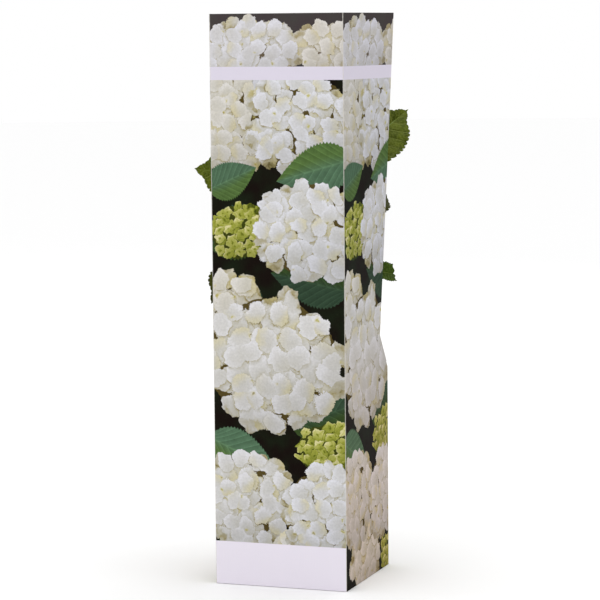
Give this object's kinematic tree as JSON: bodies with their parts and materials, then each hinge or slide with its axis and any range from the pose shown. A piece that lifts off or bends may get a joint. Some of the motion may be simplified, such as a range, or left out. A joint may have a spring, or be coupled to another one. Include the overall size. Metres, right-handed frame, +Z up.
{
  "type": "boxed potted hydrangea",
  "caption": "Young leafy hydrangea in a round nursery pot, packed in a tall printed display carton with an open top and back and splayed side flaps.",
  "frame": {"origin": "centre of the carton's flat underside, where it stands on the ground", "axes": "+Z up along the carton's tall side, -Y out of the carton's front panel, +X to that panel's right as it is looked at"},
  "size_m": [0.2438, 0.1954, 0.615],
  "materials": {
    "printed_board": "semi-gloss printed liner on fine-flute board",
    "plain_board": "matt unprinted kraft",
    "pot": "thin-walled blow-moulded black plastic",
    "compost": "moist peat-like potting compost",
    "cane": "young light-brown bark with pale pores",
    "leaf": "fresh green leaf with a faint sheen"
  },
  "bodies": {
    "root": {"carton_front_panel": "printed_board", "carton_left_panel": "printed_board", "carton_right_panel": "printed_board", "carton_rear_wall": "printed_board", "carton_base_flaps": "plain_board", "nursery_pot": "pot", "compost": "compost", "cane_left_low": "cane", "cane_right_low": "cane", "cane_left_middle": "cane", "cane_right_middle": "cane", "cane_left_top": "cane", "cane_right_top": "cane", "foliage_left_low": "leaf", "foliage_right_low": "leaf", "foliage_left_middle": "leaf", "foliage_right_middle": "leaf", "foliage_left_top": "leaf", "foliage_right_top": "leaf"}
  },
  "joints": []
}
